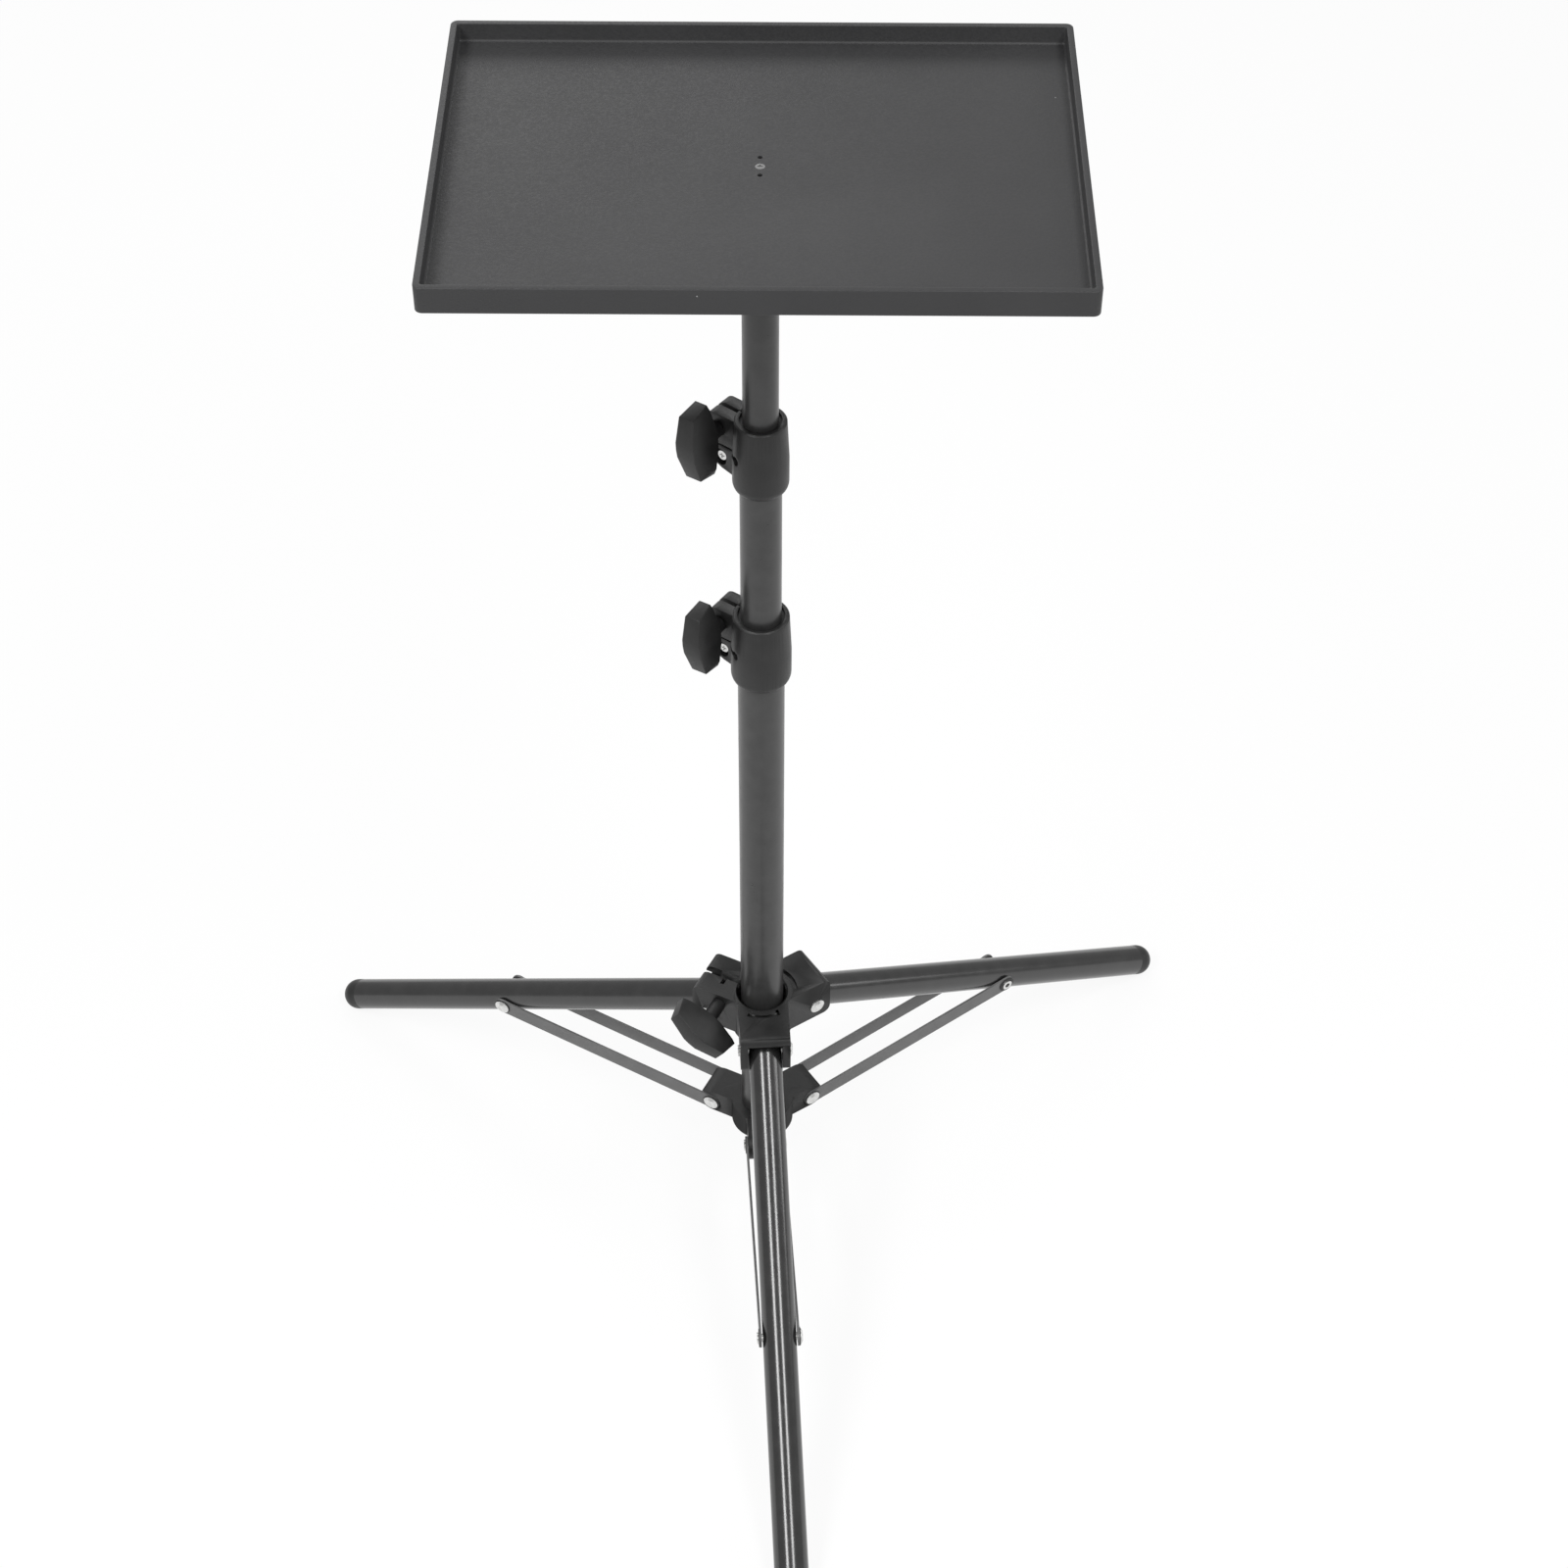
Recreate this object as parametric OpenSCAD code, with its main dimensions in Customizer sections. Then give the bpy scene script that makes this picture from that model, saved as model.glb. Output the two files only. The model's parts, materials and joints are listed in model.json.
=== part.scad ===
/* [Tray] */
// Width of the tray, side to side
tray_w = 380; // [300:5:460]
// Depth of the tray, front to back
tray_d = 272; // [220:2:340]
// Full height of the folded rim
rim_h = 17; // [14:0.5:24]
// Width of the rim's flat top
rim_w = 4; // [3.4:0.2:8]
// Depth of the tray floor below the rim's top
well_depth = 12; // [8:0.5:12.5]
// Thickness of the tray sheet
sheet_t = 1.2; // [0.8:0.1:1.5]
// Radius of the tray's upright corners
tray_corner_r = 4.5; // [3:0.5:8]
// Spacing of the two small holes beside the centre screw
tray_hole_pitch = 18; // [16:1:19]
// Radius of the two small holes
tray_hole_r = 1.5; // [1:0.1:1.8]
// Radius of the countersunk centre screw's head
tray_screw_head_r = 3; // [2.6:0.1:4]
// Radius of the centre screw's shank
tray_screw_r = 2; // [1.5:0.1:2.2]

/* [Tray socket] */
// Radius of the socket's top plate
socket_plate_r = 34; // [26:1:50]
// Thickness of the socket's top plate
socket_plate_t = 3; // [2:0.5:4]
// Length of the socket below the tray
socket_h = 34; // [28:1:50]
// Wall of the socket
socket_wall = 3; // [2:0.25:5]
// Solid head of the socket above the tube
socket_head_t = 9; // [6:0.5:12]

/* [Column] */
// Outside diameter of the column tube
column_od = 32; // [30:0.5:38]
// Outside diameter of the middle tube
middle_od = 27.5; // [26:0.25:28]
// Outside diameter of the top tube
top_od = 23; // [20:0.25:23.5]
// Wall of every tube
tube_wall = 1; // [0.8:0.1:1.2]
// Length of the column tube
column_len = 518; // [480:1:600]
// Length of the middle tube
middle_len = 482; // [440:1:520]
// Length of the top tube
top_len = 415; // [360:1:440]
// Middle tube showing above the lower clamp
middle_show = 146; // [60:1:300]
// Top tube showing above the upper clamp
top_show = 178; // [60:1:300]
// Column tube below the brace pivots
column_tail = 12; // [10:0.5:30]
// Running clearance of a shaft in a hole
run_gap = 0.05; // [0.02:0.01:0.1]

/* [Clamps] */
// Height of the lower clamp
lower_clamp_h = 56; // [50:1:70]
// Height of the upper clamp
upper_clamp_h = 54; // [50:1:70]
// Length of tube held in each clamp
clamp_grip = 34; // [30:1:40]
// Wall of a clamp at its top rim
clamp_wall_top = 3.2; // [2.4:0.1:5]
// Wall of a clamp at its widest
clamp_wall_mid = 4.6; // [3.5:0.1:6]
// Distance from the column axis to the ends of the ears
ear_reach = 36; // [34:0.5:42]
// Thickness of one ear
ear_t = 8.5; // [6:0.5:11]
// Gap between the two ears
ear_gap = 3; // [2:0.25:5]
// Direction of the upper clamp's ears
upper_ear_az = 142; // [0:1:359]
// Direction of the lower clamp's ears
lower_ear_az = 145; // [0:1:359]
// Height of the relief slot
relief_h = 3; // [2:0.5:5]
// Sweep of the relief slot around the tube
relief_sweep = 66; // [50:1:100]
// Diameter of the round end of the relief slot
relief_end_d = 6.5; // [4:0.5:8]

/* [Knobs] */
// Length of a knob's bar
knob_len = 53; // [40:1:64]
// Depth of a knob's bar at its middle
knob_depth = 22; // [16:1:26]
// Thickness of a knob's bar at its middle
knob_t = 15; // [12:0.5:20]
// Diameter of a knob's neck
neck_d = 11; // [9:0.5:14]
// Length of a knob's neck
neck_len = 10; // [6:0.5:16]
// Length of the leg hub knob's neck
hub_neck_len = 19; // [14:0.5:24]
// Diameter of the knob bolts
bolt_d = 6; // [5:0.5:6]
// Turn of the clamp knobs' bars from upright
clamp_knob_turn = 6; // [-90:1:90]
// Turn of the leg hub's knob bar
hub_knob_turn = 55; // [-90:1:90]

/* [Legs] */
// Direction of the front leg
front_az = -86.3; // [-100:0.1:-80]
// Outside diameter of a leg
leg_od = 25; // [20:0.5:25]
// Length of a leg from its pivot to the tip of its cap
leg_len = 402; // [360:1:460]
// Angle of a leg from upright
leg_angle = 62; // [50:0.5:66]
// Tube of a leg past its pivot
leg_over = 6; // [4:0.5:6.5]
// Length of the black cap seen at a leg's end
cap_len = 18; // [14:0.5:30]
// Length of the cap's plug inside the tube
cap_plug_len = 16; // [8:1:30]
// Diameter of the pivot pins and rivets
pin_d = 6; // [5:0.5:6]
// Diameter of a rivet's head
rivet_head_d = 12; // [10:0.5:14]
// Diameter of a rivet's rolled tail
rivet_tail_d = 8.5; // [7.5:0.5:10]
// Height of a rivet's head
rivet_head_h = 2.2; // [1.5:0.1:3]

/* [Leg hub] */
// Distance from the column axis to the leg pivots
pivot_r = 38; // [37.5:0.25:42]
// Width of a hub arm
arm_w = 37.5; // [36:0.5:42]
// Width of the channel for a leg
channel_w = 26; // [25.5:0.25:28]
// Distance from the column axis to an arm's end
arm_reach = 50; // [48:0.5:56]
// Hub above the pivots
hub_above = 23.6; // [22:0.2:28]
// Hub below the pivots
hub_below = 12; // [10:0.5:16]
// Roof of a channel above the pivots
channel_above = 17; // [15.5:0.25:19]
// Radius of the bore that slides on the column
hub_bore_r = 18.3; // [17.5:0.1:19]
// Outer radius of the ring in the channels
hub_ring_r = 22.8; // [21.5:0.1:23]
// Distance from the column axis to the hub's clamp bolt
hub_bolt_r = 27; // [26:0.5:30]
// Hub's clamp bolt below the hub's top
hub_bolt_drop = 9; // [8:0.5:10]

/* [Braces] */
// Distance along a leg from its pivot to the brace rivet
brace_on_leg = 215; // [180:1:240]
// Height between the leg pivots and the brace pivots
brace_drop = 117; // [100:1:140]
// Width of a brace
brace_w = 14; // [12:0.5:18]
// Thickness of a brace
brace_t = 1.5; // [1:0.25:2.5]
// Gap between a brace and the brace hub's arm
brace_gap = 0.3; // [0.2:0.05:0.6]
// Width of a brace hub arm
brace_arm_w = 26; // [25.5:0.25:30]
// Height of the brace hub
brace_hub_h = 22; // [18:0.5:28]
// Distance from the column axis to a brace hub arm's end
brace_arm_reach = 49; // [47:0.5:54]
// Outer radius of the brace hub's ring
brace_ring_r = 24; // [20:0.5:27]

/* [Hidden] */
$fn = 64;

leg_az = [front_az, front_az + 120, front_az + 240];
leg_r = leg_od / 2;
bolt_r = bolt_d / 2;
pin_r = pin_d / 2;
column_r = column_od / 2;
middle_r = middle_od / 2;
top_r = top_od / 2;

// Heights: the caps stand on the floor, and everything above is stacked on that
pivot_z = (leg_len - leg_r) * cos(leg_angle) + leg_r;
brace_z = pivot_z - brace_drop;
column_z0 = brace_z - column_tail;
column_z1 = column_z0 + column_len;
lower_clamp_z = column_z1 - clamp_grip;
middle_z1 = lower_clamp_z + lower_clamp_h + middle_show;
middle_z0 = middle_z1 - middle_len;
upper_clamp_z = middle_z1 - clamp_grip;
top_z1 = upper_clamp_z + upper_clamp_h + top_show;
top_z0 = top_z1 - top_len;
socket_gap = 0.2;
pan_under_z = top_z1 + socket_gap + socket_head_t;
floor_z = pan_under_z + sheet_t;
rim_z1 = floor_z + well_depth;
rim_z0 = rim_z1 - rim_h;

// The centre screw's head is sunk in the tray's sheet, just below its top
screw_sink_h = sheet_t - 0.1;
screw_drop = 0.1;
screw_slope = (tray_screw_head_r - tray_screw_r) / screw_sink_h;

// The feet set the plan's centre
foot_r = pivot_r + (leg_len - leg_r) * sin(leg_angle);
foot_x = [for (a = leg_az) foot_r * cos(a)];
foot_y = [for (a = leg_az) foot_r * sin(a)];
stand_shift = [-(max(foot_x) + min(foot_x)) / 2, -(max(foot_y) + min(foot_y)) / 2, 0];

// Brace pivots in an arm's own plane, measured from the leg pivot
p3 = [brace_on_leg * sin(leg_angle), -brace_on_leg * cos(leg_angle)];
p2 = [0, -brace_drop];
brace_len = norm(p2 - p3);
brace_tilt = atan2(p2[1] - p3[1], p2[0] - p3[0]);
brace_y = brace_arm_w / 2 + brace_gap;

module place() {
    translate(stand_shift) children();
}

module tube(r, wall, z0, z1) {
    difference() {
        translate([0, 0, z0]) cylinder(r = r, h = z1 - z0);
        translate([0, 0, z0 - 1]) cylinder(r = r - wall, h = z1 - z0 + 2);
    }
}

module across(r, w) {
    rotate([90, 0, 0]) cylinder(r = r, h = w, center = true);
}

module slab(w) {
    rotate([90, 0, 0]) linear_extrude(w, center = true) children();
}

module round_rect(w, d, r) {
    square([w - 2 * r, d], center = true);
    square([w, d - 2 * r], center = true);
    for (x = [-1, 1], y = [-1, 1]) {
        translate([x * (w / 2 - r), y * (d / 2 - r)]) circle(r);
    }
}

// An arm's own frame: +X runs out along the arm, and the origin is the leg pivot
module at_arm(i) {
    place() rotate([0, 0, leg_az[i]]) translate([pivot_r, 0, pivot_z]) children();
}

module at_leg(i) {
    at_arm(i) rotate([0, 180 - leg_angle, 0]) children();
}

// The tray is one folded sheet, given as its floor and the four folded sides
// of its rim. Each side meets the next one at a mitre.
module tray_floor() {
    color([0.13, 0.13, 0.13]) place() difference() {
        translate([0, 0, pan_under_z]) linear_extrude(sheet_t)
            round_rect(tray_w - 2 * rim_w, tray_d - 2 * rim_w, 2);
        translate([0, 0, pan_under_z - 1]) cylinder(r = tray_screw_r, h = sheet_t + 1.5);
        translate([0, 0, floor_z - screw_sink_h]) cylinder(
            r1 = tray_screw_r, r2 = tray_screw_head_r + screw_slope, h = screw_sink_h + 1);
        for (s = [-1, 1]) {
            translate([0, s * tray_hole_pitch / 2, pan_under_z - 1])
                cylinder(r = tray_hole_r, h = sheet_t + 2);
        }
    }
}

module tray_rim() {
    inner_w = tray_w - 2 * rim_w;
    inner_d = tray_d - 2 * rim_w;
    difference() {
        translate([0, 0, rim_z0]) linear_extrude(rim_h)
            round_rect(tray_w, tray_d, tray_corner_r);
        translate([0, 0, rim_z0 - 1]) linear_extrude(rim_h + 2)
            round_rect(inner_w, inner_d, 2);
        translate([0, 0, rim_z0 - 1]) linear_extrude(pan_under_z - rim_z0 + 1)
            round_rect(tray_w - 2 * sheet_t, tray_d - 2 * sheet_t, tray_corner_r - sheet_t);
        translate([0, 0, rim_z0 - 1]) linear_extrude(rim_h - sheet_t + 1) difference() {
            round_rect(tray_w - 2 * sheet_t, tray_d - 2 * sheet_t, tray_corner_r - sheet_t);
            round_rect(inner_w + 2 * sheet_t, inner_d + 2 * sheet_t, 2 + sheet_t);
        }
    }
}

// One side of the rim between two mitres, from the tray's outside inwards
module tray_side(length, reach, turn) {
    out = 2;
    back = 12;
    color([0.13, 0.13, 0.13]) place() intersection() {
        tray_rim();
        rotate([0, 0, turn]) translate([0, 0, rim_z0 - 1]) linear_extrude(rim_h + 2)
            polygon([[length / 2 + out, -reach / 2 - out], [length / 2 - back, -reach / 2 + back],
                     [-length / 2 + back, -reach / 2 + back], [-length / 2 - out, -reach / 2 - out]]);
    }
}

module tray_screw() {
    shank = sheet_t + socket_head_t + 24;
    color([0.7, 0.7, 0.7]) place() difference() {
        union() {
            translate([0, 0, floor_z - screw_sink_h]) cylinder(
                r1 = tray_screw_r, r2 = tray_screw_head_r - screw_drop * screw_slope,
                h = screw_sink_h - screw_drop);
            translate([0, 0, floor_z - shank])
                cylinder(r = tray_screw_r, h = shank - screw_sink_h);
        }
        for (a = [0, 90]) {
            translate([0, 0, floor_z - screw_drop]) rotate([0, 0, a])
                cube([tray_screw_head_r * 1.1, 0.8, 1], center = true);
        }
    }
}

module tray_flange() {
    r = top_r + socket_wall;
    color([0.1, 0.1, 0.1]) place() difference() {
        union() {
            translate([0, 0, pan_under_z - socket_plate_t])
                cylinder(r = socket_plate_r, h = socket_plate_t);
            translate([0, 0, pan_under_z - socket_h]) cylinder(r = r, h = socket_h);
            translate([0, 0, pan_under_z - socket_plate_t - 8])
                cylinder(r1 = r, r2 = r + 7, h = 8);
        }
        translate([0, 0, pan_under_z - socket_h - 1])
            cylinder(r = top_r + run_gap, h = socket_h + 1 - socket_head_t);
        translate([0, 0, pan_under_z - socket_head_t - 1])
            cylinder(r = tray_screw_r, h = socket_head_t + 2);
        for (s = [-1, 1]) {
            translate([0, s * tray_hole_pitch / 2, pan_under_z - socket_head_t - 1])
                cylinder(r = tray_hole_r, h = socket_head_t + 2);
        }
    }
}

module top_tube() {
    color([0.16, 0.16, 0.16]) place() tube(top_r, tube_wall, top_z0, top_z1);
}

module top_tube_plug() {
    color([0.08, 0.08, 0.08]) place() difference() {
        translate([0, 0, top_z1 - 28]) cylinder(r = top_r - tube_wall, h = 20);
        translate([0, 0, top_z1 - 29]) cylinder(r = tray_screw_r + run_gap, h = 22);
    }
}

// Outline of a clamp's wall, turned about the tube
module clamp_shell(r, h) {
    wide = r + clamp_wall_mid;
    foot = 6;
    rotate_extrude() polygon(concat(
        [[r, 0], [r + 1.2, 0]],
        [for (a = [15:15:90]) [wide - (wide - r - 1.2) * (1 - sin(a)), foot * (1 - cos(a))]],
        [[wide, h * 0.45], [r + clamp_wall_top, h - 1], [r + clamp_wall_top - 1, h], [r, h]]));
}

// Upper ears that the knob's bolt pulls together
module clamp_ears(h) {
    z0 = h / 2 - relief_h / 4;
    z1 = h - 2.5;
    c = 7;
    slab(2 * ear_t + ear_gap) {
        translate([0, z0]) square([ear_reach - c, z1 - z0]);
        translate([0, z0]) square([ear_reach, z1 - z0 - c]);
        translate([ear_reach - c, z1 - c]) circle(c);
    }
}

// Lower lug that stays fixed and holds the small screw
module clamp_lug(h) {
    out = ear_reach - 3;
    z1 = h / 2 + relief_h / 4;
    c = 5;
    slab(2 * ear_t) {
        polygon([[0, 2], [out - c - 3, 7.6], [out - 0.6, 11], [out, 13], [out, z1], [0, z1]]);
    }
}

ear_bolt_r = ear_reach - 9;

function ear_bolt_z(h) = h / 2 + relief_h / 2 + (h / 2 - relief_h / 2 - 2.5) / 2;

module clamp(r, h) {
    difference() {
        union() {
            clamp_shell(r, h);
            difference() {
                union() {
                    clamp_ears(h);
                    clamp_lug(h);
                }
                translate([0, 0, -1]) cylinder(r = r, h = h + 2);
            }
        }
        translate([0, -ear_gap / 2, h / 2]) cube([ear_reach + 5, ear_gap, h]);
        translate([0, 0, h / 2 - relief_h / 2]) rotate([0, 0, -40])
            rotate_extrude(angle = 40 + relief_sweep) translate([r - 1, 0])
                square([ear_reach, relief_h]);
        rotate([0, 0, relief_sweep]) translate([r - 1, 0, h / 2]) rotate([0, 90, 0])
            cylinder(d = relief_end_d, h = 20);
        translate([ear_bolt_r, 0, ear_bolt_z(h)]) across(bolt_r + run_gap, 60);
        for (z = [0, 3.4]) {
            translate([ear_reach - 10, ear_t - 4, h / 4 + 1 + z]) rotate([-90, 0, 0])
                cylinder(r = 4.6, h = 10);
        }
        translate([ear_reach - 14.6, ear_t - 4, h / 4 + 1]) cube([9.2, 10, 3.4]);
    }
}

module clamp_bush(r_in, r_out, z0, z1) {
    color([0.05, 0.05, 0.05]) place() tube(r_out, r_out - r_in - run_gap, z0, z1);
}

module clamp_nut(az, z, h) {
    color([0.5, 0.5, 0.5]) place() rotate([0, 0, az])
        translate([ear_bolt_r, -ear_t - ear_gap / 2, z + ear_bolt_z(h)]) rotate([90, 0, 0])
            difference() {
                cylinder(r = 5.6, h = 4.5, $fn = 6);
                translate([0, 0, -1]) cylinder(r = bolt_r + run_gap, h = 7);
            }
}

module clamp_screw(az, z, h) {
    color([0.75, 0.75, 0.75]) place() rotate([0, 0, az])
        translate([ear_reach - 10, ear_t - 4, z + h / 4 + 2.7]) rotate([-90, 0, 0])
            difference() {
                cylinder(r = 3.4, h = 2.4);
                translate([0, 0, 2.2]) cube([4, 0.9, 1.6], center = true);
                translate([0, 0, 2.2]) cube([0.9, 4, 1.6], center = true);
            }
}

// A knob's bar with its neck; the bolt's axis is +Y and the bar stands along Z
module knob_bar(y0) {
    side = [[-knob_len / 2, y0 + 2], [-neck_d / 2 - 2, y0 - 2], [neck_d / 2 + 2, y0 - 2],
            [knob_len / 2, y0 + 2], [knob_len / 2 - 3.5, y0 + knob_depth - 5],
            [neck_d / 2, y0 + knob_depth], [-neck_d / 2, y0 + knob_depth],
            [-knob_len / 2 + 3.5, y0 + knob_depth - 5]];
    front = [[-knob_len / 2, -4.6], [-knob_len / 2 + 4, -knob_t / 2 + 1.4], [0, -knob_t / 2],
             [knob_len / 2 - 4, -knob_t / 2 + 1.4], [knob_len / 2, -4.6],
             [knob_len / 2, 4.6], [knob_len / 2 - 4, knob_t / 2 - 1.4], [0, knob_t / 2],
             [-knob_len / 2 + 4, knob_t / 2 - 1.4], [-knob_len / 2, 4.6]];
    intersection() {
        rotate([0, -90, 0]) linear_extrude(knob_t + 2, center = true) polygon(side);
        rotate([0, -90, -90]) linear_extrude(80) polygon(front);
    }
}

module knob(neck) {
    color([0.06, 0.06, 0.06]) difference() {
        union() {
            knob_bar(neck);
            rotate([-90, 0, 0]) cylinder(d = neck_d, h = neck + 2);
        }
        translate([0, -1, 0]) rotate([-90, 0, 0]) cylinder(r = bolt_r, h = neck + 5);
    }
}

module knob_bolt(neck, grip) {
    color([0.6, 0.6, 0.6]) translate([0, neck + 4, 0]) rotate([90, 0, 0])
        cylinder(r = bolt_r, h = neck + 4 + grip);
}

face_gap = 0.3;

module at_clamp_bolt(az, z, h) {
    place() rotate([0, 0, az])
        translate([ear_bolt_r, ear_t + ear_gap / 2 + face_gap, z + ear_bolt_z(h)])
            rotate([0, clamp_knob_turn, 0]) children();
}

module at_hub_bolt() {
    at_arm(2) translate([hub_bolt_r - pivot_r, arm_w / 2 + face_gap, hub_above - hub_bolt_drop])
        rotate([0, hub_knob_turn, 0]) children();
}

module upper_clamp() {
    color([0.07, 0.07, 0.07]) place() translate([0, 0, upper_clamp_z])
        rotate([0, 0, upper_ear_az]) clamp(middle_r, upper_clamp_h);
}

module upper_clamp_bush() {
    clamp_bush(top_r, middle_r, middle_z1, upper_clamp_z + upper_clamp_h - 1.5);
}

module upper_clamp_nut() {
    clamp_nut(upper_ear_az, upper_clamp_z, upper_clamp_h);
}

module upper_clamp_screw() {
    clamp_screw(upper_ear_az, upper_clamp_z, upper_clamp_h);
}

module upper_knob() {
    at_clamp_bolt(upper_ear_az, upper_clamp_z, upper_clamp_h) knob(neck_len);
}

module upper_knob_bolt() {
    at_clamp_bolt(upper_ear_az, upper_clamp_z, upper_clamp_h)
        knob_bolt(neck_len, 2 * ear_t + ear_gap + face_gap + 7);
}

module middle_tube() {
    color([0.16, 0.16, 0.16]) place() tube(middle_r, tube_wall, middle_z0, middle_z1);
}

module lower_clamp() {
    color([0.07, 0.07, 0.07]) place() translate([0, 0, lower_clamp_z])
        rotate([0, 0, lower_ear_az]) clamp(column_r, lower_clamp_h);
}

module lower_clamp_bush() {
    clamp_bush(middle_r, column_r, column_z1, lower_clamp_z + lower_clamp_h - 1.5);
}

module lower_clamp_nut() {
    clamp_nut(lower_ear_az, lower_clamp_z, lower_clamp_h);
}

module lower_clamp_screw() {
    clamp_screw(lower_ear_az, lower_clamp_z, lower_clamp_h);
}

module lower_knob() {
    at_clamp_bolt(lower_ear_az, lower_clamp_z, lower_clamp_h) knob(neck_len);
}

module lower_knob_bolt() {
    at_clamp_bolt(lower_ear_az, lower_clamp_z, lower_clamp_h)
        knob_bolt(neck_len, 2 * ear_t + ear_gap + face_gap + 7);
}

module column_tube() {
    color([0.15, 0.15, 0.15]) place() tube(column_r, tube_wall, column_z0, column_z1);
}

module column_plug() {
    color([0.05, 0.05, 0.05]) place() union() {
        translate([0, 0, column_z0 - 3]) cylinder(r1 = column_r - 2, r2 = column_r, h = 3);
        translate([0, 0, column_z0 - 0.01]) cylinder(r = column_r - tube_wall, h = 14);
    }
}

// Side outline of a hub arm, with the leg pivot at the origin
module hub_arm_outline() {
    out = arm_reach - pivot_r;
    c = 6;
    translate([-pivot_r, -hub_below]) square([arm_reach - c, hub_above + hub_below]);
    translate([-pivot_r, c - hub_below]) square([arm_reach, hub_above + hub_below - 2 * c]);
    translate([out - c, hub_above - c]) circle(c);
    translate([out - c, c - hub_below]) circle(c);
}

module leg_hub() {
    color([0.06, 0.06, 0.06]) difference() {
        union() {
            for (i = [0:2]) {
                at_arm(i) slab(arm_w) hub_arm_outline();
            }
            place() translate([0, 0, pivot_z - hub_below - 2])
                cylinder(r = hub_ring_r, h = hub_above + hub_below + 2);
        }
        place() translate([0, 0, pivot_z - hub_below - 10])
            cylinder(r = hub_bore_r, h = hub_above + hub_below + 20);
        place() translate([0, 0, pivot_z + hub_above - 1.5])
            cylinder(r1 = hub_bore_r, r2 = hub_bore_r + 1.6, h = 1.6);
        for (i = [0:2]) {
            at_arm(i) translate([hub_ring_r - pivot_r, -channel_w / 2, -hub_below - 10])
                cube([60, channel_w, channel_above + hub_below + 10]);
            at_arm(i) across(pin_r, 60);
        }
        for (i = [0:1]) {
            at_arm(i) translate([-pivot_r, 0, hub_above - 2.2]) rotate([0, 0, -28])
                rotate_extrude(angle = 56) translate([hub_ring_r + 1.4, 0]) square([3, 4]);
        }
        at_arm(2) translate([10 - pivot_r, -1.5, -60]) cube([38 - 10, 3, 120]);
        at_arm(2) translate([36 - pivot_r, -4.5, channel_above - 1]) cube([30, 6, 30]);
        at_arm(2) translate([29 - pivot_r, -1.5, channel_above - 1]) cube([3, 9, 30]);
        at_arm(2) translate([hub_bolt_r - pivot_r, 0, hub_above - hub_bolt_drop])
            across(bolt_r + run_gap, 60);
    }
}

module hub_knob() {
    at_hub_bolt() knob(hub_neck_len);
}

module hub_knob_bolt() {
    at_hub_bolt() knob_bolt(hub_neck_len, arm_w + face_gap + 7);
}

module hub_knob_nut() {
    color([0.5, 0.5, 0.5]) at_arm(2)
        translate([hub_bolt_r - pivot_r, -arm_w / 2, hub_above - hub_bolt_drop])
            rotate([90, 0, 0]) difference() {
                cylinder(r = 5.6, h = 4.5, $fn = 6);
                translate([0, 0, -1]) cylinder(r = bolt_r + run_gap, h = 7);
            }
}

// A rivet across an arm: round head on one side, rolled tail with a recess on the other
module rivet(half_w, head_side) {
    rotate([90 * head_side, 0, 0]) difference() {
        union() {
            translate([0, 0, -half_w]) cylinder(r = pin_r, h = 2 * half_w);
            translate([0, 0, half_w]) cylinder(d = rivet_head_d, h = rivet_head_h * 0.4);
            translate([0, 0, half_w + rivet_head_h * 0.4])
                cylinder(d1 = rivet_head_d, d2 = rivet_head_d * 0.62, h = rivet_head_h * 0.6);
            translate([0, 0, -half_w - 1.6]) cylinder(d = rivet_tail_d, h = 1.6);
        }
        translate([0, 0, -half_w - 2]) cylinder(d = rivet_tail_d * 0.5, h = 2.5);
    }
}

module leg_pin(i) {
    color([0.75, 0.75, 0.75]) at_arm(i) rivet(arm_w / 2, i == 0 ? -1 : 1);
}

module leg_tube(i) {
    color([0.14, 0.14, 0.14]) at_leg(i) difference() {
        tube(leg_r, tube_wall, -leg_over, leg_len - cap_len);
        across(pin_r + run_gap, 60);
        translate([0, 0, brace_on_leg]) across(pin_r, 60);
    }
}

module leg_cap(i) {
    color([0.04, 0.04, 0.04]) at_leg(i) union() {
        translate([0, 0, leg_len - leg_r]) rotate_extrude() intersection() {
            circle(leg_r);
            square(leg_od);
        }
        translate([0, 0, leg_len - cap_len]) cylinder(r = leg_r, h = cap_len - leg_r);
        translate([0, 0, leg_len - cap_len - cap_plug_len])
            cylinder(r = leg_r - tube_wall, h = cap_plug_len + 1);
    }
}

module brace_bar(i, side) {
    color([0.2, 0.2, 0.2]) at_arm(i)
        translate([p3[0], side * (brace_y + brace_t / 2), p3[1]]) rotate([0, -brace_tilt, 0])
            slab(brace_t) difference() {
                union() {
                    translate([0, -brace_w / 2]) square([brace_len, brace_w]);
                    circle(d = brace_w);
                    translate([brace_len, 0]) circle(d = brace_w);
                }
                circle(pin_r + run_gap);
                translate([brace_len, 0]) circle(pin_r);
            }
}

module brace_rivet(i) {
    color([0.8, 0.8, 0.8]) at_arm(i) translate([p3[0], 0, p3[1]])
        rivet(brace_y + brace_t + 0.1, i == 1 ? -1 : (i == 0 ? -1 : -1));
}

module brace_end(i) {
    color([0.8, 0.8, 0.8]) at_arm(i) translate([p2[0], 0, p2[1]]) difference() {
        rivet(brace_y + brace_t, i == 1 ? 1 : -1);
        cube([40, 2 * brace_y, 40], center = true);
    }
}

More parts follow.
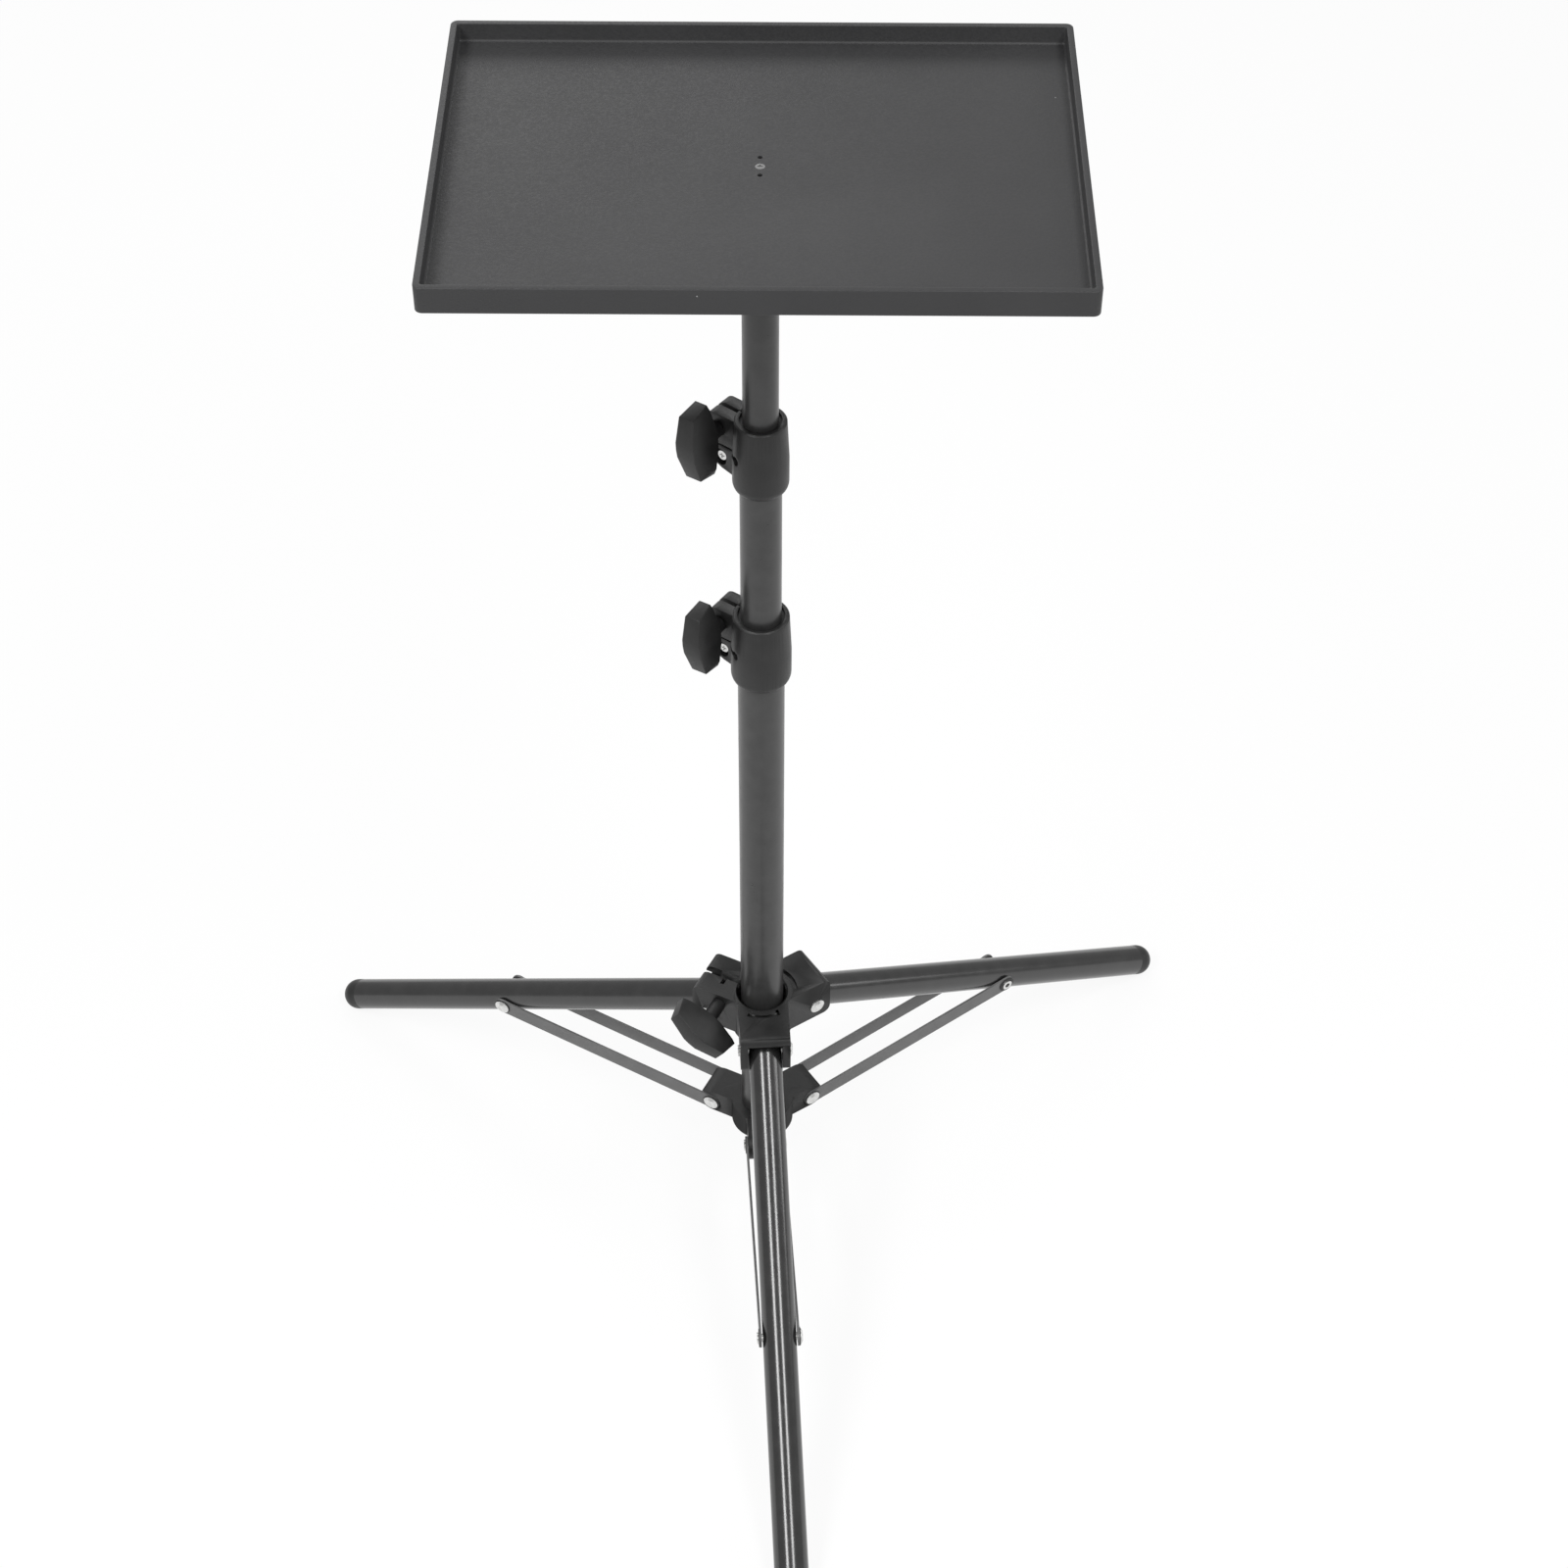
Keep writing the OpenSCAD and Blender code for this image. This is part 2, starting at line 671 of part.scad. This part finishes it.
module brace_hub() {
    reach = brace_arm_reach - pivot_r;
    r = brace_hub_h / 2;
    color([0.06, 0.06, 0.06]) difference() {
        union() {
            for (i = [0:2]) {
                at_arm(i) translate([0, 0, -brace_drop]) slab(brace_arm_w) {
                    translate([-pivot_r, -r]) square([brace_arm_reach - r, brace_hub_h]);
                    translate([reach - r, 0]) circle(r);
                }
            }
            place() translate([0, 0, brace_z - r]) cylinder(r = brace_ring_r, h = brace_hub_h);
        }
        place() translate([0, 0, brace_z - r - 1]) cylinder(r = column_r, h = brace_hub_h + 2);
    }
}

module leg_pin_front() { leg_pin(0); }
module leg_pin_right() { leg_pin(1); }
module leg_pin_left() { leg_pin(2); }
module leg_tube_front() { leg_tube(0); }
module leg_tube_right() { leg_tube(1); }
module leg_tube_left() { leg_tube(2); }
module leg_cap_front() { leg_cap(0); }
module leg_cap_right() { leg_cap(1); }
module leg_cap_left() { leg_cap(2); }
module brace_bar_front_a() { brace_bar(0, 1); }
module brace_bar_front_b() { brace_bar(0, -1); }
module brace_bar_right_a() { brace_bar(1, 1); }
module brace_bar_right_b() { brace_bar(1, -1); }
module brace_bar_left_a() { brace_bar(2, 1); }
module brace_bar_left_b() { brace_bar(2, -1); }
module brace_rivet_front() { brace_rivet(0); }
module tray_rim_front() { tray_side(tray_w, tray_d, 0); }
module tray_rim_back() { tray_side(tray_w, tray_d, 180); }
module tray_rim_left() { tray_side(tray_d, tray_w, -90); }
module tray_rim_right() { tray_side(tray_d, tray_w, 90); }
module brace_rivet_right() { brace_rivet(1); }
module brace_rivet_left() { brace_rivet(2); }
module brace_end_front() { brace_end(0); }
module brace_end_right() { brace_end(1); }
module brace_end_left() { brace_end(2); }

tray_floor();
tray_rim_front();
tray_rim_back();
tray_rim_left();
tray_rim_right();
tray_screw();
tray_flange();
top_tube();
top_tube_plug();
upper_clamp();
upper_clamp_bush();
upper_clamp_nut();
upper_clamp_screw();
upper_knob();
upper_knob_bolt();
middle_tube();
lower_clamp();
lower_clamp_bush();
lower_clamp_nut();
lower_clamp_screw();
lower_knob();
lower_knob_bolt();
column_tube();
column_plug();
leg_hub();
hub_knob();
hub_knob_bolt();
hub_knob_nut();
leg_pin_front();
leg_pin_right();
leg_pin_left();
brace_hub();
leg_tube_front();
leg_tube_right();
leg_tube_left();
leg_cap_front();
leg_cap_right();
leg_cap_left();
brace_bar_front_a();
brace_bar_front_b();
brace_bar_right_a();
brace_bar_right_b();
brace_bar_left_a();
brace_bar_left_b();
brace_rivet_front();
brace_rivet_right();
brace_rivet_left();
brace_end_front();
brace_end_right();
brace_end_left();
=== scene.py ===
# %% [markdown]
# # A tripod stand with a shelf
# A folding stand: three tube legs on a moulded hub, a column of three
# telescoping tubes, and a rimmed sheet metal tray on top. The solid model
# comes in as a frame of bodies and nodes. This lesson gives it moulded edges,
# pressed sheet bends, paint, plastic and zinc, and sets up a plain studio.

# %% Load the frame
import json
import math

import bpy
from mathutils import Matrix, Vector


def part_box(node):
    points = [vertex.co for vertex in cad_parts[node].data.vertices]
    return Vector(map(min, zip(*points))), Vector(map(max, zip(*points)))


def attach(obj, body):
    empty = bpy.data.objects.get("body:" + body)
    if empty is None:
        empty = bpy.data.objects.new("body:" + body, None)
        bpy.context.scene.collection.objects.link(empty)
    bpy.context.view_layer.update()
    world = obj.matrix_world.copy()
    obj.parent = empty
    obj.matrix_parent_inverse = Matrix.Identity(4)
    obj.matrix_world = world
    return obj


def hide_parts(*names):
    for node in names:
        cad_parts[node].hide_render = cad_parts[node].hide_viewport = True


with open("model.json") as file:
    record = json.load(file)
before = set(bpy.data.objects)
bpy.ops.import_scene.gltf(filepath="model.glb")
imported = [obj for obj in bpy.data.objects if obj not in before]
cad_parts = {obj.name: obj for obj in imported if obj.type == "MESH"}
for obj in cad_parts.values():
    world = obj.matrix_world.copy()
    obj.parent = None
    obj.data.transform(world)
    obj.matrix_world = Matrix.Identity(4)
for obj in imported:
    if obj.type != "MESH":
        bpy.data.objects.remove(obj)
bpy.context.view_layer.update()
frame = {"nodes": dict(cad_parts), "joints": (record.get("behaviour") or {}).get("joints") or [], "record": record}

nodes = frame["nodes"]
body_of = {n: b for b, names in frame["record"]["behaviour"]["bodies"].items() for n in names}
slot_of = {s["node"]: s["material_slot"] for s in frame["record"]["subparts"]}

# %% [markdown]
# ## Where the column stands
# The origin is the middle of the three feet, so the column is a little off it.
# The column tube's own box gives its axis, and every new piece is placed from it.

# %% Column axis
low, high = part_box("column_tube")
axis_x = (low[0] + high[0]) / 2
axis_y = (low[1] + high[1]) / 2
print("column axis at", round(axis_x, 4), round(axis_y, 4))

# %% [markdown]
# ## Camera
# The picture looks down at the stand at about 46 degrees from above head
# height. Its place and lens were worked out from the tray's corners, the tube
# widths and the legs, so the frame and the picture line up.

# %% Camera
camera_data = bpy.data.cameras.new("camera")
camera_data.sensor_width = 36
camera_data.lens = 69.39
camera_data.clip_end = 50
camera = bpy.data.objects.new("camera", camera_data)
bpy.context.scene.collection.objects.link(camera)
camera.matrix_world = (
    Matrix.Translation((axis_x + 0.01586, axis_y - 1.48452, 1.97305))
    @ Matrix.Rotation(math.radians(90 - 45.84), 4, "X")
    @ Matrix.Rotation(math.radians(0.3), 4, "Z")
)
bpy.context.scene.camera = camera
bpy.context.scene.view_settings.view_transform = "Standard"
print("camera at", [round(v, 3) for v in camera.location])

# %% [markdown]
# ## Node helpers
# Shader maths reads best as ordinary expressions. A small class wraps a
# socket, and each operator adds the Math node for it. One method adds any
# other node from its type, its settings and what its sockets get.

# %% Socket maths
class Signal:
    def __init__(self, tree, socket):
        self.tree = tree
        self.socket = socket

    def math(self, operation, first, second):
        node = self.tree.nodes.new("ShaderNodeMath")
        node.operation = operation
        for socket, value in zip(node.inputs, (first, second)):
            feed(self.tree, socket, value)
        return Signal(self.tree, node.outputs[0])

    def __add__(self, other):
        return self.math("ADD", self, other)

    def __radd__(self, other):
        return self.math("ADD", other, self)

    def __mul__(self, other):
        return self.math("MULTIPLY", self, other)

    def __rmul__(self, other):
        return self.math("MULTIPLY", other, self)

    def __gt__(self, other):
        return self.math("GREATER_THAN", self, other)

    def __lt__(self, other):
        return self.math("LESS_THAN", self, other)


def feed(tree, socket, value):
    if isinstance(value, Signal):
        tree.links.new(value.socket, socket)
    elif hasattr(value, "__len__") and len(value) == 3 and len(socket.default_value) == 4:
        socket.default_value = (*value, 1)
    else:
        socket.default_value = value


print("socket maths ready")


# %% A finish and its nodes
class Finish:
    def __init__(self, name, metallic=0.0, specular=0.5):
        self.material = bpy.data.materials.new(name)
        self.material.use_nodes = True
        self.tree = self.material.node_tree
        self.shader = self.tree.nodes["Principled BSDF"]
        self.shader.inputs["Metallic"].default_value = metallic
        self.shader.inputs["Specular IOR Level"].default_value = specular
        coordinates = self.tree.nodes.new("ShaderNodeTexCoord")
        self.place = Signal(self.tree, coordinates.outputs["Object"])

    def node(self, kind, settings=None, inputs=None, output=0):
        node = self.tree.nodes.new(kind)
        for key, value in (settings or {}).items():
            setattr(node, key, value)
        for key, value in (inputs or {}).items():
            feed(self.tree, node.inputs[key], value)
        return Signal(self.tree, node.outputs[output])

    def noise(self, size, detail):
        inputs = {"Vector": self.place, "Scale": 1 / size, "Detail": detail}
        return self.node("ShaderNodeTexNoise", inputs=inputs)

    def cells(self, size):
        return self.node("ShaderNodeTexVoronoi", inputs={"Vector": self.place, "Scale": 1 / size})

    def spread(self, signal, low, high, to_low, to_high):
        inputs = {"Value": signal, "From Min": low, "From Max": high,
                  "To Min": to_low, "To Max": to_high}
        return self.node("ShaderNodeMapRange", inputs=inputs)

    def mix(self, factor, first, second):
        return self.node("ShaderNodeMix", {"data_type": "RGBA"},
                         {0: factor, 6: first, 7: second}, output=2)

    def color(self, value):
        feed(self.tree, self.shader.inputs["Base Color"], value)

    def rough(self, value):
        feed(self.tree, self.shader.inputs["Roughness"], value)

    def bump(self, height, strength, distance):
        normal = self.node("ShaderNodeBump",
                           inputs={"Height": height, "Strength": strength, "Distance": distance})
        self.tree.links.new(normal.socket, self.shader.inputs["Normal"])


print("helpers ready")

# %% [markdown]
# ## Studio
# A pale floor that looks white to the camera and still takes the stand's
# shadow, a white world, two strip lights high in front and softer lamps at the
# side and the rear. Dark gloss paint shows its shape by what it mirrors: the
# strips draw the two long highlights down the front leg.

# %% Floor and world
bpy.ops.object.select_all(action="DESELECT")
bpy.ops.mesh.primitive_plane_add(size=14, location=(0, 0, 0))
floor = bpy.context.object
floor.name = "studio_floor"
floor_material = bpy.data.materials.new("pale_floor")
floor_material.use_nodes = True
tree = floor_material.node_tree
tree.nodes.clear()
rays = tree.nodes.new("ShaderNodeLightPath")
seen = Signal(tree, rays.outputs["Is Camera Ray"])
for kind in ("Is Glossy Ray", "Is Transmission Ray"):
    seen = seen + Signal(tree, rays.outputs[kind])
diffuse = tree.nodes.new("ShaderNodeBsdfDiffuse")
diffuse.inputs["Color"].default_value = (0.86, 0.86, 0.86, 1)
glow = tree.nodes.new("ShaderNodeEmission")
glow.inputs["Strength"].default_value = 1.0
blend = tree.nodes.new("ShaderNodeMixShader")
output = tree.nodes.new("ShaderNodeOutputMaterial")
feed(tree, blend.inputs[0], seen * 0.88)
tree.links.new(diffuse.outputs[0], blend.inputs[1])
tree.links.new(glow.outputs[0], blend.inputs[2])
tree.links.new(blend.outputs[0], output.inputs["Surface"])
floor.data.materials.append(floor_material)

world = bpy.data.worlds.new("white_room")
bpy.context.scene.world = world
world.use_nodes = True
tree = world.node_tree
tree.nodes.clear()
rays = tree.nodes.new("ShaderNodeLightPath")
seen = Signal(tree, rays.outputs["Is Camera Ray"])
seen = seen + Signal(tree, rays.outputs["Is Transmission Ray"])
sky = tree.nodes.new("ShaderNodeBackground")
sky.inputs["Color"].default_value = (1, 1, 1, 1)
feed(tree, sky.inputs["Strength"], 0.46 + 0.54 * seen)
output = tree.nodes.new("ShaderNodeOutputWorld")
tree.links.new(sky.outputs[0], output.inputs["Surface"])
print("floor and world ready")

# %% Lamps
def softbox(name, place, target, size, power):
    data = bpy.data.lights.new(name, "AREA")
    data.shape = "RECTANGLE"
    data.size, data.size_y = size
    data.energy = power
    lamp = bpy.data.objects.new(name, data)
    bpy.context.scene.collection.objects.link(lamp)
    back = (Vector(place) - Vector(target)).normalized()
    across = Vector((0, 1, 0)).cross(back).normalized()
    turn = Matrix((across, back.cross(across), back)).transposed()
    lamp.matrix_world = Matrix.Translation(place) @ turn.to_4x4()


front_leg_middle = (0.03, -0.15, 0.1)
softbox("strip_left", (-1.20, -1.12, 2.53), front_leg_middle, (0.60, 1.9), 40)
softbox("strip_right", (0.93, -1.07, 2.69), front_leg_middle, (0.52, 1.9), 33)
softbox("side", (2.4, 0.4, 1.6), (0, 0, 0.6), (1.8, 0.7), 12)
softbox("rear", (-0.6, 2.2, 1.9), (0, 0, 0.5), (1.8, 0.8), 14)
print("four soft lamps")

# %% [markdown]
# ## Paint on the tray
# The tray is black powder coat: dark grey in this light, with a fine orange
# peel, faint clouding and a few specks of dust. Two sizes of noise make the
# peel, a Voronoi cell makes one speck a cell, and noise thins the specks out.

# %% Tray paint
tray_paint = Finish("tray_powder_coat", specular=0.35)
cloud = tray_paint.noise(0.09, 3)
grain = tray_paint.noise(0.0016, 2)
peel = tray_paint.noise(0.0006, 2)
speck = (tray_paint.cells(0.021) < 0.022) * (tray_paint.noise(0.05, 1) > 0.56)
base = tray_paint.mix(tray_paint.spread(cloud * 0.6 + grain * 0.4, 0.35, 0.65, 0, 1),
                      (0.028, 0.028, 0.029), (0.036, 0.036, 0.037))
tray_paint.color(tray_paint.mix(speck, base, (0.26, 0.26, 0.26)))
tray_paint.rough(tray_paint.spread(grain, 0.3, 0.7, 0.46, 0.60))
tray_paint.bump(grain * 0.7 + peel * 0.3, 0.35, 0.0004)
print("tray paint ready")

# %% [markdown]
# ## Gloss paint on the tubes
# The column tubes have a semi-gloss black paint with long faint draw marks,
# and the legs a deeper gloss that mirrors its surroundings in sharp lines.
# One function makes both, with its own depth of colour and gloss.

# %% Tube paint
def tube_paint(name, dark, pale, gloss, scuff, specular=0.5):
    paint = Finish(name, specular=specular)
    draw = paint.noise(0.011, 4)
    fine = paint.noise(0.0011, 2)
    paint.color(paint.mix(paint.spread(draw, 0.35, 0.7, 0, 1), (dark,) * 3, (pale,) * 3))
    paint.rough(paint.spread(draw * 0.7 + fine * 0.3, 0.3, 0.7, gloss, gloss + scuff))
    paint.bump(fine, 0.05, 0.0002)
    return paint


column_paint = tube_paint("column_semi_gloss", 0.028, 0.038, 0.27, 0.10)
leg_paint = tube_paint("leg_gloss", 0.012, 0.018, 0.16, 0.06, 0.9)
brace_paint = tube_paint("brace_paint", 0.105, 0.130, 0.36, 0.10)
print("tube paints ready")

# %% [markdown]
# ## Moulded plastic
# Hub, clamps, knobs and caps are black moulded nylon. It has a fine spark
# texture and a slightly paler, rougher bloom in places.

# %% Moulded black
def moulded(name, dark, pale, gloss):
    plastic = Finish(name, specular=0.40)
    bloom = plastic.noise(0.017, 3)
    spark = plastic.noise(0.0007, 2)
    plastic.color(plastic.mix(plastic.spread(bloom, 0.38, 0.68, 0, 1), (dark,) * 3, (pale,) * 3))
    plastic.rough(plastic.spread(bloom * 0.5 + spark * 0.5, 0.3, 0.7, gloss, gloss + 0.14))
    plastic.bump(spark, 0.30, 0.0002)
    return plastic


hub_plastic = moulded("hub_nylon", 0.011, 0.017, 0.38)
knob_plastic = moulded("knob_nylon", 0.012, 0.018, 0.40)
cap_plastic = moulded("cap_plastic", 0.012, 0.018, 0.36)
bush_plastic = moulded("bush_plastic", 0.006, 0.010, 0.50)
print("plastics ready")

# %% [markdown]
# ## Zinc on the rivets, nuts and screws
# Bright zinc plate: nearly white metal, with a little cloudiness and fine
# turning marks that break up its reflections.

# %% Zinc
zinc = Finish("bright_zinc", metallic=1.0)
haze = zinc.noise(0.002, 3)
zinc.color(zinc.mix(zinc.spread(haze, 0.35, 0.65, 0, 1), (0.62, 0.62, 0.61), (0.80, 0.80, 0.79)))
zinc.rough(zinc.spread(haze, 0.3, 0.7, 0.22, 0.36))
zinc.bump(zinc.noise(0.0005, 2), 0.25, 0.0001)
print("zinc ready")

# %% [markdown]
# Each node takes the finish of its slot. The screw in the tray is duller than
# the rivets, so it gets a darker zinc of its own.

# %% Finishes on the nodes
dull = Finish("dull_zinc", metallic=1.0)
haze = dull.noise(0.0015, 3)
dull.color(dull.mix(dull.spread(haze, 0.35, 0.65, 0, 1), (0.16, 0.16, 0.16), (0.24, 0.24, 0.24)))
dull.rough(dull.spread(haze, 0.3, 0.7, 0.34, 0.48))
finishes = {
    "tray_sheet": tray_paint, "painted_tube": column_paint, "leg_tube": leg_paint,
    "moulding": hub_plastic, "bush": bush_plastic, "knob": knob_plastic,
    "cap": cap_plastic, "brace": brace_paint, "zinc": zinc,
}
for name, node in nodes.items():
    for slot in node.material_slots:
        slot.material = finishes[slot_of[name]].material
for slot in nodes["tray_screw"].material_slots:
    slot.material = dull.material
print("finishes on", len(nodes), "nodes")

# %% [markdown]
# ## Moulded and pressed edges
# No moulded or pressed edge is knife sharp. Each such node is copied, its
# triangles are merged and dissolved back to whole faces, and a bevel rounds
# the edges by a few tenths of a millimetre. The copy stands for the node.

# %% Round the edges
smooth_angle = math.radians(38)


def only(piece):
    bpy.ops.object.select_all(action="DESELECT")
    piece.select_set(True)
    bpy.context.view_layer.objects.active = piece


def apply_modifier(piece, kind, **settings):
    only(piece)
    modifier = piece.modifiers.new(kind.lower(), kind)
    for key, value in settings.items():
        setattr(modifier, key, value)
    bpy.ops.object.modifier_apply(modifier=modifier.name)


def seat(piece, body, finish):
    piece.data.materials.clear()
    piece.data.materials.append(finish.material)
    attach(piece, body)


def soften(node, width, segments=2, sharp=32):
    piece = bpy.data.objects.new(node + "_rounded", nodes[node].data.copy())
    bpy.context.scene.collection.objects.link(piece)
    only(piece)
    bpy.ops.object.mode_set(mode="EDIT")
    bpy.ops.mesh.select_all(action="SELECT")
    bpy.ops.mesh.remove_doubles(threshold=0.000002)
    bpy.ops.mesh.dissolve_limited(angle_limit=math.radians(0.6))
    bpy.ops.object.mode_set(mode="OBJECT")
    apply_modifier(piece, "BEVEL", width=width, segments=segments, limit_method="ANGLE",
                   angle_limit=math.radians(sharp), use_clamp_overlap=True)
    bpy.ops.object.shade_smooth_by_angle(angle=smooth_angle)
    seat(piece, body_of[node], finishes[slot_of[node]])
    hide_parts(node)
    return piece


rounded = {
    "leg_hub": 0.0009, "brace_hub": 0.0009, "upper_clamp": 0.0006, "lower_clamp": 0.0006,
    "hub_knob": 0.0014, "upper_knob": 0.0014, "lower_knob": 0.0014,
}
for node, width in rounded.items():
    piece = soften(node, width, 3 if "knob" in node else 2)
    print(piece.name, len(piece.data.polygons), "faces")

# %% [markdown]
# ## The pressed tray
# The tray is one sheet, folded up into a rim, over and down again. A cube is
# taken to the tray's box. Its top is inset by the rim's width and pushed down
# to the floor, its upright edges are rounded, its underside is inset by the
# sheet's thickness and pushed up, and the folds are bevelled last.

# %% Select by place
def pick(piece, kind, test):
    only(piece)
    bpy.ops.object.mode_set(mode="EDIT")
    bpy.ops.mesh.select_mode(type="FACE" if kind == "faces" else "EDGE")
    bpy.ops.mesh.select_all(action="DESELECT")
    bpy.ops.object.mode_set(mode="OBJECT")
    mesh = piece.data
    if kind == "faces":
        for face in mesh.polygons:
            face.select = bool(test(face.center, face.normal))
    else:
        for edge in mesh.edges:
            ends = [mesh.vertices[i].co for i in edge.vertices]
            edge.select = bool(test(*ends))
    bpy.ops.object.mode_set(mode="EDIT")


def near(a, b, slack=0.00005):
    return abs(a - b) < slack


def settle(piece):
    bpy.ops.object.mode_set(mode="OBJECT")
    only(piece)
    bpy.ops.object.transform_apply(location=True, rotation=True, scale=True)


print("selection helpers ready")

# %% Press the tray
tray_nodes = ["tray_floor", "tray_rim_front", "tray_rim_back", "tray_rim_left", "tray_rim_right"]
boxes = [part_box(name) for name in tray_nodes]
low = [min(box[0][i] for box in boxes) for i in range(3)]
high = [max(box[1][i] for box in boxes) for i in range(3)]
middle = [(a + b) / 2 for a, b in zip(low, high)]
span = [b - a for a, b in zip(low, high)]
rim_width, well, sheet = 0.004, 0.012, 0.0012
corner, inner_corner, floor_bend, fold_round = 0.0045, 0.002, 0.0015, 0.0005
bpy.ops.object.select_all(action="DESELECT")
bpy.ops.mesh.primitive_cube_add(size=1, location=middle, scale=span)
tray = bpy.context.object
tray.name = "tray_pressed"
settle(tray)
pick(tray, "faces", lambda c, n: n.z > 0.9)
bpy.ops.mesh.inset(thickness=rim_width, depth=0)
bpy.ops.mesh.extrude_region_move(TRANSFORM_OT_translate={"value": (0, 0, -well)})
bpy.ops.object.mode_set(mode="OBJECT")
for inward, radius in ((0, corner), (rim_width, inner_corner)):
    pick(tray, "edges", lambda a, b: near(a.x, b.x) and near(a.y, b.y)
         and near(abs(a.x - middle[0]), span[0] / 2 - inward)
         and near(abs(a.y - middle[1]), span[1] / 2 - inward))
    bpy.ops.mesh.bevel(offset=radius, segments=5, affect="EDGES")
    bpy.ops.object.mode_set(mode="OBJECT")
pick(tray, "faces", lambda c, n: n.z < -0.9 and near(c.z, low[2]))
bpy.ops.mesh.inset(thickness=sheet, depth=0)
lift = span[2] - well - sheet
bpy.ops.mesh.extrude_region_move(TRANSFORM_OT_translate={"value": (0, 0, lift)})
bpy.ops.object.mode_set(mode="OBJECT")
floor_height = high[2] - well
print("tray floor at", round(floor_height, 4), "faces", len(tray.data.polygons))

# %% Bend radii of the tray
pick(tray, "edges", lambda a, b: near(a.z, floor_height) and near(b.z, floor_height))
bpy.ops.mesh.bevel(offset=floor_bend, segments=4, affect="EDGES")
bpy.ops.object.mode_set(mode="OBJECT")
apply_modifier(tray, "BEVEL", width=fold_round, segments=3, limit_method="ANGLE",
               angle_limit=math.radians(60))
print("tray faces after bends", len(tray.data.polygons))

# %% [markdown]
# The countersink of the centre screw and the two small holes beside it are cut
# with Boolean modifiers. Floor and underside each get a small middle face
# first, so that the cuts stay clear of the bends. Each drill is deleted after.

# %% Drill the tray
hole_pitch, hole_radius, hole_depth = 0.018, 0.0015, 0.01
sink_centre, sink_low, sink_high, sink_depth = floor_height - 0.0005, 0.00164, 0.00345, 0.002
ring, middle_share = 0.0002, (0.12, 0.25, 1)
for height in (floor_height, floor_height - sheet):
    pick(tray, "faces", lambda c, n: near(c.z, height) and abs(n.z) > 0.999)
    bpy.ops.mesh.inset(thickness=ring, depth=0)
    bpy.ops.mesh.inset(thickness=ring, depth=0)
    bpy.ops.transform.resize(value=middle_share, center_override=(*middle[:2], height))
    bpy.ops.object.mode_set(mode="OBJECT")


def drill(place, low_radius, high_radius, depth):
    bpy.ops.object.select_all(action="DESELECT")
    bpy.ops.mesh.primitive_cone_add(vertices=64, radius1=low_radius, radius2=high_radius,
                                    depth=depth, location=place)
    cutter = bpy.context.object
    apply_modifier(tray, "BOOLEAN", operation="DIFFERENCE", solver="MANIFOLD", object=cutter)
    bpy.data.objects.remove(cutter)


drill((axis_x, axis_y, sink_centre), sink_low, sink_high, sink_depth)
for side in (-1, 1):
    place = (axis_x, axis_y + side * hole_pitch / 2, floor_height - sheet / 2)
    drill(place, hole_radius, hole_radius, hole_depth)
only(tray)
bpy.ops.object.shade_smooth_by_angle(angle=smooth_angle)
seat(tray, "tray", tray_paint)
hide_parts(*tray_nodes)
print("tray has", len(tray.data.polygons), "faces")

# %% [markdown]
# ## Washers under the rivets
# Each brace rivet bears on a thin black washer. A short cylinder is turned
# across the arm, its rim is bevelled, and it is seated against the bar.

# %% Washers
washer_radius, washer_thick, washer_out = 0.0068, 0.0005, 0.0151


def washer(name, place, across, body):
    bpy.ops.object.select_all(action="DESELECT")
    turn = Vector(across).to_track_quat("Z", "Y").to_euler()
    bpy.ops.mesh.primitive_cylinder_add(vertices=40, radius=washer_radius, depth=washer_thick,
                                        location=place, rotation=turn)
    piece = bpy.context.object
    piece.name = name
    settle(piece)
    apply_modifier(piece, "BEVEL", width=washer_thick * 0.35, segments=2,
                   limit_method="ANGLE", angle_limit=math.radians(40))
    bpy.ops.object.shade_smooth_by_angle(angle=smooth_angle)
    seat(piece, body, cap_plastic)


joints = {joint["name"]: joint for joint in frame["joints"]}
for leg in ("front", "right", "left"):
    fold = joints[f"leg_{leg}_fold"]
    axis = Vector(fold["axis"]).normalized()
    low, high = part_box(f"brace_end_{leg}")
    hub_end = Vector((fold["pos_m"][0], fold["pos_m"][1], (low[2] + high[2]) / 2))
    leg_end = Vector(joints[f"brace_{leg}_fold"]["pos_m"])
    for rivet, body, centre in ((f"brace_rivet_{leg}", f"leg_{leg}", leg_end),
                                (f"brace_end_{leg}", f"brace_{leg}", hub_end)):
        for side, letter in ((-1, "b"), (1, "a")):
            place = centre + axis * side * washer_out
            washer(f"{rivet}_washer_{letter}", place, axis, body)
print("twelve washers")
